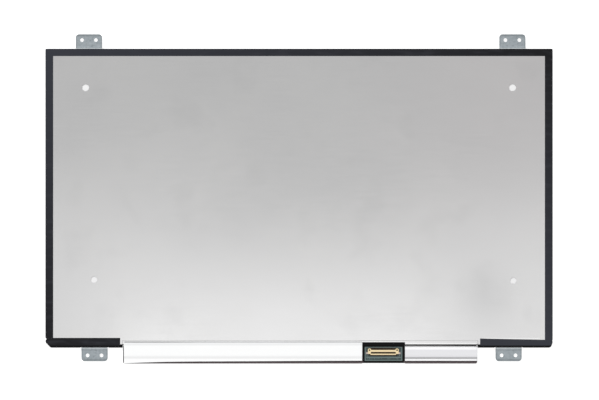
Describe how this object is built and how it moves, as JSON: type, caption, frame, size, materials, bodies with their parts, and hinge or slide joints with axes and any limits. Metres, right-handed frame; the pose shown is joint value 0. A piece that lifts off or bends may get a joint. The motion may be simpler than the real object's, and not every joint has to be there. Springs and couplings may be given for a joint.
{
  "type": "laptop screen panel",
  "caption": "Slim flat screen module for a laptop lid: satin metal back, black taped border, screw tabs at the upper and lower edges, and a connector board below.",
  "frame": {"origin": "middle of the body's outline, on the screen face that lies on the bench", "axes": "+X along the longer edge, to the right when the back is seen with the connector board below; +Y to the upper edge; +Z out of the back"},
  "size_m": [0.3204, 0.2082, 0.0032],
  "materials": {
    "silver_plate": "satin rolled sheet",
    "black_frame": "fine moulded texture",
    "black_tape": "semi-matt tape",
    "white_film": "white film",
    "white_sheet": "white reflector",
    "clear_sheet": "clear or frosted sheet",
    "zinc_steel": "galvanised",
    "green_board": "solder mask",
    "gold": "gold plating",
    "dark_moulding": "moulded",
    "chip_black": "moulded package",
    "ceramic_tan": "chip capacitor",
    "amber_film": "polyimide film",
    "led_white": "moulded package",
    "screen_film": "anti-glare film",
    "dark_glass": "glass with black border mask"
  },
  "bodies": {
    "root": {"front_polariser": "screen_film", "colour_filter_glass": "dark_glass", "array_glass": "dark_glass", "rear_polariser": "screen_film", "rim_tape": "black_tape", "upper_diffuser": "clear_sheet", "upper_prism_sheet": "clear_sheet", "lower_prism_sheet": "clear_sheet", "lower_diffuser": "clear_sheet", "light_guide": "clear_sheet", "reflector_sheet": "white_sheet", "light_bar_flex": "amber_film", "leds": "led_white", "mould_frame": "black_frame", "back_plate": "silver_plate", "ledge_tape": "black_tape", "control_board": "green_board", "board_insulator": "black_tape", "cover_film_left": "white_film", "cover_film_right": "white_film", "timing_chip": "chip_black", "memory_chip": "chip_black", "backlight_chip": "chip_black", "power_inductor": "chip_black", "chip_capacitors": "ceramic_tan", "connector_housing": "dark_moulding", "connector_contacts": "gold", "connector_shell": "gold", "bracket_top_left": "zinc_steel", "bracket_top_right": "zinc_steel", "bracket_bottom_left": "zinc_steel", "bracket_bottom_right": "zinc_steel", "edge_tape_left": "black_tape", "edge_tape_right": "black_tape", "edge_tape_top": "black_tape", "edge_tape_bottom_left": "black_tape", "edge_tape_bottom_right": "black_tape", "driver_film_1": "amber_film", "driver_chip_1": "chip_black", "driver_film_2": "amber_film", "driver_chip_2": "chip_black", "driver_film_3": "amber_film", "driver_chip_3": "chip_black", "driver_film_4": "amber_film", "driver_chip_4": "chip_black"}
  },
  "joints": []
}
